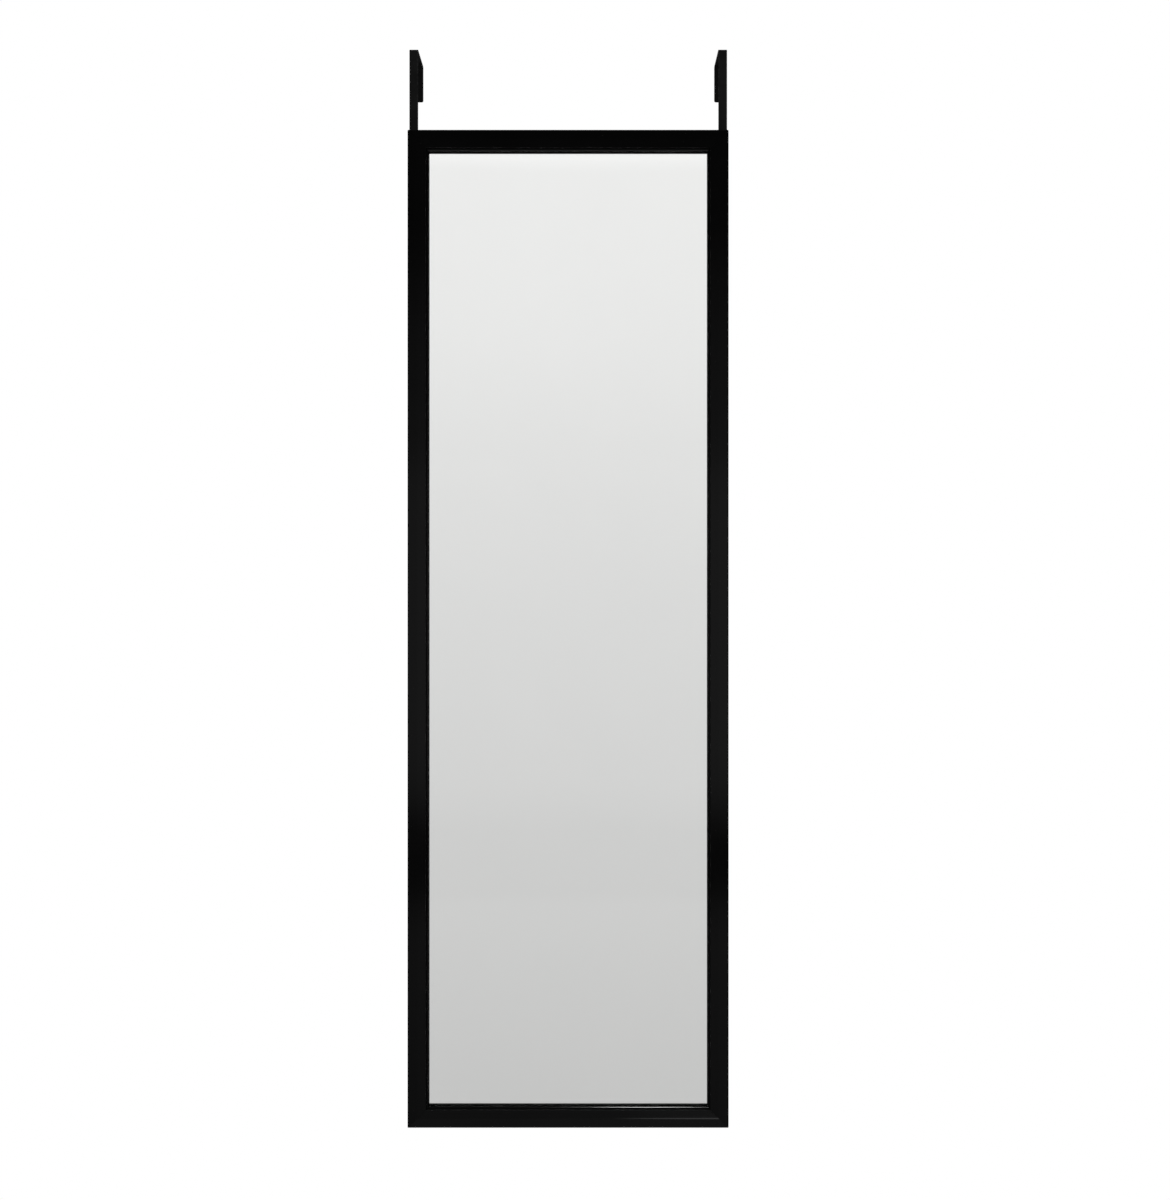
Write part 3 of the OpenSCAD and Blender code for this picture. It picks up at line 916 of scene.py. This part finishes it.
def nail_slot(place, across, up):
    """The V section of one nail, place along the mitre from the outer corner, which
    across and up put at one of the four corners: s along the mitre, w across it."""
    half = NAIL_W / 2 + NAIL_CLEAR
    slope = NAIL_RISE / (NAIL_W / 2)
    along = NAIL_CLEAR * np.hypot(1, slope)
    s = np.array([along, along - slope * half, -NAIL_T - along - slope * half,
                  -NAIL_T - along, -NAIL_T - along - slope * half, along - slope * half])
    w = np.array([0, half, half, 0, -half, -half])
    inward_x = (place + s - w) / np.sqrt(2)
    inward_z = (place + s + w) / np.sqrt(2)
    outline = np.stack([across * (FRAME_W / 2 - inward_x),
                        FRAME_MID + up * (FRAME_H / 2 - inward_z)], axis=1)
    return prism(outline, BACK_Y - NAIL_SUNK - NAIL_H - NAIL_CLEAR, BACK_Y + MM)


CORNERS = {"top": [(-1, 1), (1, 1)], "right": [(1, 1), (1, -1)],
           "bottom": [(-1, -1), (1, -1)], "left": [(-1, 1), (-1, -1)]}
for side, rail in rails.items():
    for across, up in CORNERS[side]:
        for place in NAIL_PLACES:
            cut_away(rail, *nail_slot(place, across, up))
    mark_sharp(rail)
print("slots cut:", 2 * sum(len(c) for c in CORNERS.values()))

# %% [markdown]
# ## Rounded sheets
#
# The glass, the silver, the foam, the board and the felt pads are all flat sheets with
# eased edges. One function makes them. It covers a box with a grid of points, takes for
# each point the nearest point of a smaller box inside, and puts it at the rounding radius
# from there. Faces stay flat, and every edge and corner comes out round.

# %% Rounded sheets
def eased_axis(half, radius, cells, steps=4):
    """Positions from -half to half: even cells, tangent-spaced ones over each edge, and a
    narrow one between, which keeps the smooth shading of the flat faces flat."""
    flat = half - radius
    hold = min(radius, flat / 2)
    middle = np.linspace(hold - flat, flat - hold, cells + 1)
    edge = flat + radius * np.tan(np.linspace(0, np.pi / 4, steps + 1))
    return np.concatenate([-edge[::-1], middle, edge])


def rounded_box(low, high, radius, cells):
    """Points and faces of a box with all its edges rounded: each point q of the box's skin
    becomes c + radius * (q - c) / |q - c|, with c the nearest point of the inner box."""
    low, high = np.array(low, float), np.array(high, float)
    half, centre = (high - low) / 2, (high + low) / 2
    axes = [eased_axis(h, radius, n) for h, n in zip(half, cells)]
    points, faces, start = [], [], 0
    for axis in range(3):
        first, second = (axis + 1) % 3, (axis + 2) % 3
        a, b = np.meshgrid(axes[first], axes[second], indexing="ij")
        index = np.arange(a.size).reshape(a.shape)
        quads = np.stack([index[:-1, :-1], index[1:, :-1], index[1:, 1:], index[:-1, 1:]],
                         axis=-1).reshape(-1, 4)
        for sign in (-1, 1):
            skin = np.zeros((a.size, 3))
            skin[:, axis] = sign * half[axis]
            skin[:, first], skin[:, second] = a.ravel(), b.ravel()
            points.append(skin)
            faces.append((quads if sign > 0 else quads[:, ::-1]) + start)
            start += a.size
    skin, merged = np.unique(np.round(np.concatenate(points), 8), axis=0,
                             return_inverse=True)
    inner = np.clip(skin, radius - half, half - radius)
    away = skin - inner
    away /= np.maximum(np.linalg.norm(away, axis=1, keepdims=True), 1e-12)
    return centre + inner + radius * away, merged.ravel()[np.concatenate(faces)].tolist()


def make_sheet(name, corners, radius, cells, finish, slot, stands_for=()):
    """A rounded sheet between two corners."""
    points, faces = rounded_box(*corners, radius, cells)
    mark_sharp(make_piece(name, points, faces, finish, slot, stands_for))


# %% [markdown]
# ## Glass, silver and backing
#
# The pane has a tiny arris all round. The silver is a film just inside its back face, so
# that light passes through the glass first and comes back through it. The foam and the
# hardboard lie behind it, as in the CAD model.

# %% Glass, silver and backing
SILVER_T = 0.03 * MM
SILVER_INSET = Vector((0.4 * MM, 0, 0.4 * MM))

glass_low, glass_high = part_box("mirror_glass")
silver_low = Vector((glass_low.x, glass_high.y - 2 * SILVER_T, glass_low.z)) + SILVER_INSET
silver_high = Vector((glass_high.x, glass_high.y - SILVER_T, glass_high.z)) - SILVER_INSET
make_sheet("glass_pane", (glass_low, glass_high), radius=0.3 * MM, cells=(6, 2, 20),
           finish=GLASS, slot="mirror", stands_for=["mirror_glass"])
make_sheet("silvering", (silver_low, silver_high), radius=0.01 * MM, cells=(6, 1, 20),
           finish=SILVER, slot="mirror")
make_sheet("foam_layer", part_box("foam_sheet"), radius=0.4 * MM, cells=(10, 2, 30),
           finish=FOAM, slot="foam", stands_for=["foam_sheet"])
make_sheet("hardboard_back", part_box("backing_board"), radius=0.25 * MM, cells=(12, 2, 40),
           finish=HARDBOARD, slot="hardboard", stands_for=["backing_board"])
print("pane", [round(c, 4) for c in glass_high - glass_low])

# %% [markdown]
# ## The hooks
#
# Each hook is one flat strap, bent twice. Its middle line is a path of straight runs and
# quarter circles, and its section is a flat rectangle with slightly rounded edges. The
# section is carried along the path, square to it. Near both ends it gets narrower, by
# the circle that rounds the strap's corners.

# %% The hooks
STRAP_CORNER_R = 1.5 * MM
STRAP_EASE = 0.3 * MM     # rounding of the strap's long edges
PAD_MARGIN = 0.5 * MM     # strap that shows round the felt pad


def strap_section(half_w):
    """Ring of (across, through) points round the strap, for each half width given, and how
    near each is to an edge, from 0 to 1. One flat face with its two rounded edges is half
    of the ring, and the other half is the same with both signs changed."""
    half = half_w[:, None]
    corner = np.radians([0, 30, 60, 90])
    out, rise = STRAP_EASE * np.cos(corner), STRAP_EASE * np.sin(corner)
    edge_across = half - STRAP_EASE + out
    edge_through = STRAP_T / 2 - STRAP_EASE + rise
    flat = np.linspace(1, -1, 8)[1:-1]
    face = np.concatenate([edge_across, flat * (half - STRAP_EASE), -edge_across[:, ::-1]],
                          axis=1)
    level = np.concatenate([edge_through, np.full(flat.size, STRAP_T / 2),
                            edge_through[::-1]])
    across = np.concatenate([face, -face], axis=1)
    through = np.broadcast_to(np.concatenate([level, -level]), across.shape)
    edge = np.clip((np.abs(across) - half + 2 * STRAP_EASE) / STRAP_EASE, 0, 1)
    return across, through, edge


def strap_path(foot_end, leg_y, leg_end):
    """Middle line of the strap as (y, z) rows, and its outward normals, from the end of
    the foot up the door, over its top and down its back."""
    half = STRAP_T / 2
    bend = BEND_R + half
    ease = STRAP_CORNER_R * (1 - np.cos(np.linspace(0, np.pi / 2, 9)))
    up = np.concatenate([foot_end + ease, np.linspace(foot_end, -BEND_R, 42)[2:]])
    down = np.concatenate([np.linspace(-BEND_R, leg_end, 14)[1:-1], (leg_end + ease)[::-1]])
    over = np.linspace(BEND_R, leg_y - BEND_R, 14)[1:-1]
    front = np.pi - np.linspace(0, np.pi / 2, 11)[1:]
    back = np.pi / 2 - np.linspace(0, np.pi / 2, 11)
    line = np.concatenate([np.column_stack(run) for run in (
        (np.full(up.size, -half), up),
        (BEND_R + bend * np.cos(front), -BEND_R + bend * np.sin(front)),
        (over, np.full(over.size, half)),
        (leg_y - BEND_R + bend * np.cos(back), -BEND_R + bend * np.sin(back)),
        (np.full(down.size, leg_y + half), down),
    )])
    turn = np.concatenate([np.full(up.size, np.pi), front, np.full(over.size, np.pi / 2),
                           back, np.zeros(down.size)])
    return line, np.stack([np.cos(turn), np.sin(turn)], axis=1)


def make_hook(name, node):
    """The strap swept along its path, with its foot and leg ends rounded in plan."""
    low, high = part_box(node)
    middle_x = (low.x + high.x) / 2
    leg_y = high.y - STRAP_T
    leg_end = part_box(node + "_pad")[0].z - PAD_MARGIN
    line, normal = strap_path(low.z, leg_y, leg_end)
    y, z = line.T
    from_end = np.minimum(np.where(y < BEND_R, z - low.z, np.inf),
                          np.where(y > leg_y - BEND_R, z - leg_end, np.inf))
    short = np.clip(STRAP_CORNER_R - from_end, 0, STRAP_CORNER_R)
    half_w = STRAP_W / 2 - (STRAP_CORNER_R - np.sqrt(STRAP_CORNER_R ** 2 - short ** 2))
    across, through, edge = strap_section(half_w)
    grid = np.stack([middle_x + across, line[:, :1] + through * normal[:, :1],
                     line[:, 1:] + through * normal[:, 1:]], axis=-1)
    hook = make_piece(name, *tube(grid), POWDER_COAT, "strap_black", [node])
    write_attribute(hook, "edge", edge)
    return hook


hooks = {node: make_hook(node + "_strap", node) for node in ("left_hook", "right_hook")}
print("hooks:", {n: len(h.data.polygons) for n, h in hooks.items()})

# %% [markdown]
# ## Countersunk holes
#
# Two screws hold each strap. Their heads lie flush in cone-shaped holes, each a profile of
# radius against depth, turned once round its axis and taken out of the strap.

# %% Countersunk holes
SCREW_D, SCREW_HEAD_D, SCREW_CLEAR = 3.0 * MM, 5.6 * MM, 0.1 * MM
HOLE_REACH = 13 * MM      # past the strap, so that it opens at both ends


def turned(outline, steps, centre):
    """A closed shape turned about the Y axis through centre: rows of the outline are
    (radius, y), and its first and last rows are the rims of the two flat caps."""
    angle = np.linspace(0, 2 * np.pi, steps, endpoint=False)
    r, y = outline[:, :1], outline[:, 1:]
    return tube(np.stack(np.broadcast_arrays(centre[0] + r * np.cos(angle), centre[1] + y,
                                             centre[2] + r * np.sin(angle)), axis=-1))


wide, narrow = SCREW_HEAD_D / 2 + SCREW_CLEAR, SCREW_D / 2 + SCREW_CLEAR
hole = np.array([[wide, MM], [wide, 0], [narrow, narrow - wide], [narrow, -HOLE_REACH]])
for node, hook in hooks.items():
    for which in ("upper", "lower"):
        low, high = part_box(f"{node}_{which}_screw")
        centre = ((low.x + high.x) / 2, 0.0, (low.z + high.z) / 2)
        cut_away(hook, *turned(hole, 48, centre))
    mark_sharp(hook)
print("holes:", 2 * len(hooks), "of radius", narrow, "to", wide)

# %% [markdown]
# ## Felt pads
#
# A thin felt pad is glued inside the back leg. Felt is never quite flat, and its cut edge
# is fuzzy, so the sheet's points move a little along its normals by a seeded, smoothed
# noise.

# %% Felt pads
WAVES, WAVE_H = 24, 0.008 * MM
PAD_INSET = 0.04 * MM     # sinks the pad's faces, so that few waves pass the CAD pad
PAD_SKIN = 0.4 * MM       # only points this near to a side of the pad move
PAD_EASE = 0.3 * MM


def felt_height(points, seed):
    """Sum of sine waves, each WAVE_H high and 1 to 4 mm long, in random directions. It is
    mostly within 0.06 mm."""
    random = np.random.default_rng(seed)
    waves = random.normal(size=(WAVES, 3))
    waves *= (2 * np.pi / random.uniform(1 * MM, 4 * MM, WAVES) /
              np.linalg.norm(waves, axis=1))[:, None]
    phases = random.uniform(0, 2 * np.pi, WAVES)
    return np.sin(points @ waves.T + phases).sum(axis=1) * WAVE_H


for seed, node in enumerate(("left_hook_pad", "right_hook_pad")):
    low, high = map(np.array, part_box(node))
    points, faces = rounded_box(low + PAD_INSET, high - PAD_INSET, PAD_EASE, (24, 3, 90))
    toward_middle = (low + high) / 2 - points
    near_side = np.abs(toward_middle) > (high - low) / 2 - PAD_SKIN
    shrink = felt_height(points, seed)[:, None] * np.sign(toward_middle) * near_side
    mark_sharp(make_piece(node + "_felt", points + shrink, faces, FELT, "felt", [node]))
    print(node, "moves by up to", np.abs(shrink).max().round(6), "m")

# %% [markdown]
# ## Rubber bumpers
#
# The bumpers are small round buttons, stuck to the back at the lower corners. Each is a
# profile turned about its axis: a straight wall, a rounded rim, and a face that is
# slightly hollow, as moulded rubber is.

# %% Rubber bumpers
BUMPER_RIM_R = 0.7 * MM
BUMPER_HOLLOW = 0.1 * MM
CAP_R = 0.02 * MM         # the small flat cap at the middle of the face
GLUED_RINGS = (0.02, 0.5, 0.98)   # rings of the glued face, as shares of the radius
GLUED_EASE = 0.05 * MM    # height of the slight bevel round the glued face


def bumper_profile(radius, height):
    """Rows of (radius, y) from the glued face out: wall, rim arc, and a face that dips with
    the cosine of the radius, by BUMPER_HOLLOW at its middle."""
    rim = arc((radius - BUMPER_RIM_R, height - BUMPER_RIM_R), BUMPER_RIM_R, 0, np.pi / 2, 8)
    r = np.linspace(radius - BUMPER_RIM_R, CAP_R, 12)[1:]
    dip = BUMPER_HOLLOW / 2 * (1 + np.cos(np.pi * r / (radius - BUMPER_RIM_R)))
    face = np.stack([r, height - dip], axis=1)
    glued = [[share * radius, 0] for share in GLUED_RINGS]
    return np.concatenate([glued, [[radius, GLUED_EASE]], rim, face])


for node in ("left_bumper", "right_bumper"):
    low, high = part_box(node)
    centre = ((low.x + high.x) / 2, low.y, (low.z + high.z) / 2)
    button = turned(bumper_profile((high.x - low.x) / 2, high.y - low.y), 64, centre)
    mark_sharp(make_piece(node + "_button", *button, RUBBER, "bumper_rubber", [node]))
    print(node, "at", [round(c, 4) for c in centre])

# %% [markdown]
# ## Small metal parts
#
# The screws, nails and points are small and plainly shaped, so the CAD solids are right as
# they are. They only need the plated finish.

# %% Small metal parts
DRIVEN_IN = ("corner_nails", "retaining_points")
METAL_NODES = [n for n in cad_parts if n.startswith(DRIVEN_IN) or n.endswith("screw")]
for node in METAL_NODES:
    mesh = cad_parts[node].data
    mesh.materials.clear()
    mesh.materials.append(ZINC)
print("plated nodes:", len(METAL_NODES))
